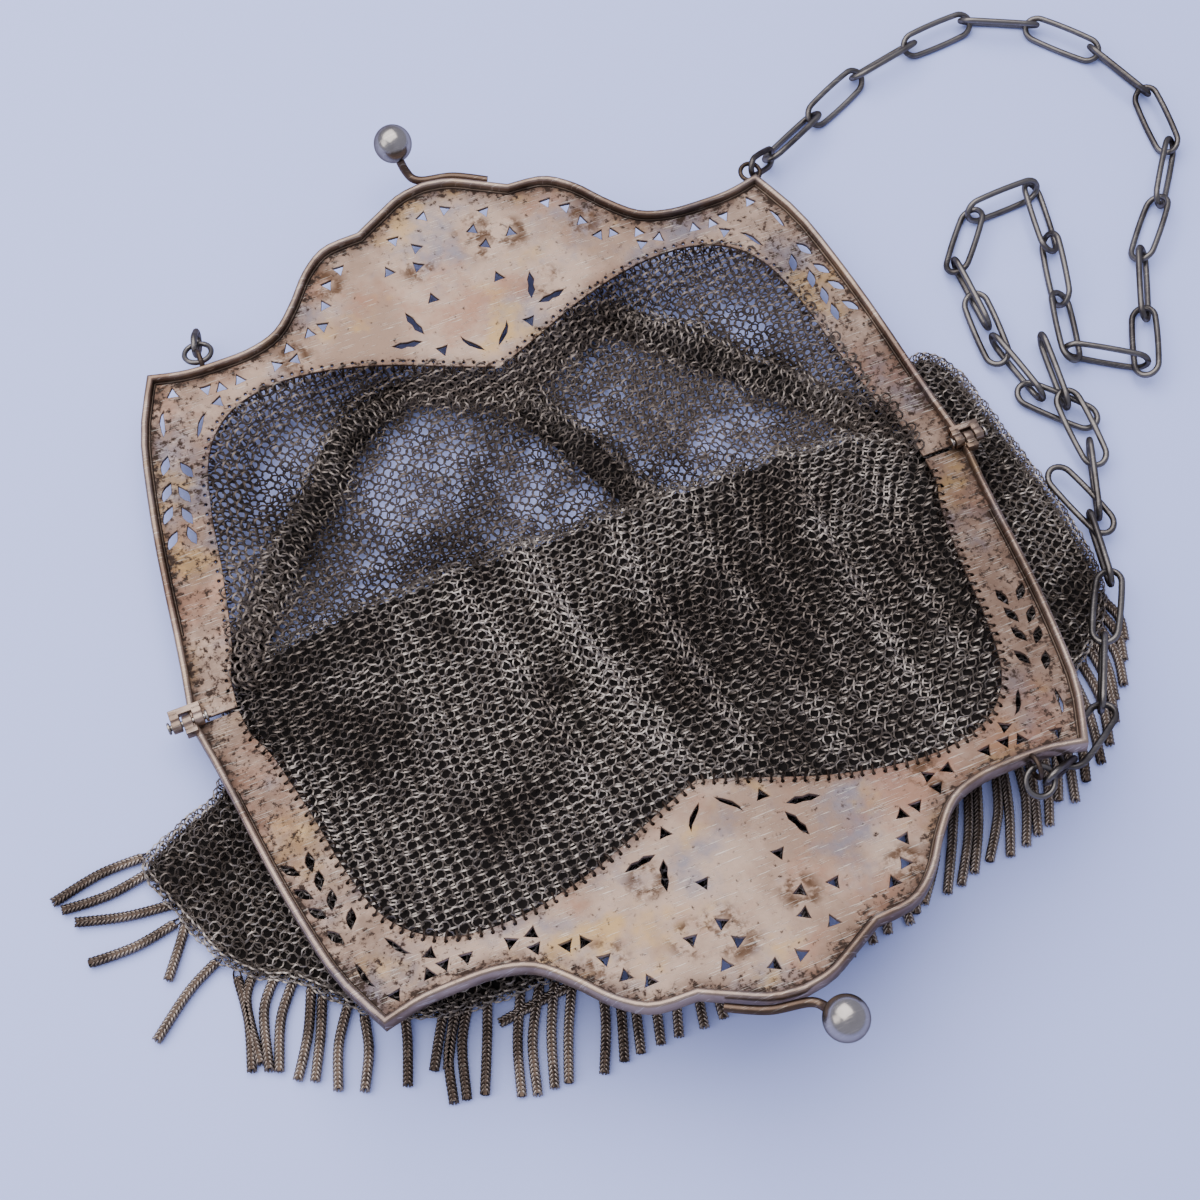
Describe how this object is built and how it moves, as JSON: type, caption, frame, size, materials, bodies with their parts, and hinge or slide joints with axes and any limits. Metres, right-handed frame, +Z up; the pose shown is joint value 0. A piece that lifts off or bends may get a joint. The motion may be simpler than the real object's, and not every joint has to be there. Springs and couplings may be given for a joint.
{
  "type": "handbag",
  "caption": "Small evening bag of silver mesh lying open, with a pierced hinged frame, ball clasp, fringe and a loose chain of long links.",
  "frame": {"origin": "on the table directly below the middle of the hinge line between the two jaws", "axes": "+X along the hinge line to the right, +Y away from the viewer across the far jaw, +Z up from the table"},
  "size_m": [0.279, 0.2106, 0.0423],
  "materials": {
    "frame_silver": "worn tarnished silver plate",
    "polished_silver": "smooth worn silver",
    "mesh_silver": "dark oxidised ring mesh",
    "fringe_silver": "dark oxidised foxtail chain",
    "chain_silver": "satin dark silver wire"
  },
  "bodies": {
    "root": {"far_jaw": "frame_silver", "ball_clasp_far": "polished_silver", "ring_far_left": "chain_silver", "near_jaw": "frame_silver", "ball_clasp_near": "polished_silver", "ring_near_right": "chain_silver", "hinge_pin_left": "polished_silver", "hinge_pin_right": "polished_silver", "mesh_pouch": "mesh_silver", "fringe": "fringe_silver", "chain_link_01": "chain_silver", "chain_link_02": "chain_silver", "chain_link_03": "chain_silver", "chain_link_04": "chain_silver", "chain_link_05": "chain_silver", "chain_link_06": "chain_silver", "chain_link_07": "chain_silver", "chain_link_08": "chain_silver", "chain_link_09": "chain_silver", "chain_link_10": "chain_silver", "chain_link_11": "chain_silver", "chain_link_12": "chain_silver", "chain_link_13": "chain_silver", "chain_link_14": "chain_silver", "chain_link_15": "chain_silver", "chain_link_16": "chain_silver", "chain_link_17": "chain_silver", "chain_link_18": "chain_silver", "chain_link_19": "chain_silver", "chain_link_20": "chain_silver", "chain_link_21": "chain_silver", "chain_link_22": "chain_silver", "chain_link_23": "chain_silver", "chain_link_24": "chain_silver", "chain_link_25": "chain_silver", "chain_link_26": "chain_silver", "chain_link_27": "chain_silver", "chain_link_28": "chain_silver", "chain_link_29": "chain_silver", "chain_link_30": "chain_silver", "bail_link_far_right": "chain_silver", "bail_link_near_right": "chain_silver", "bail_link_far_left": "chain_silver"}
  },
  "joints": []
}
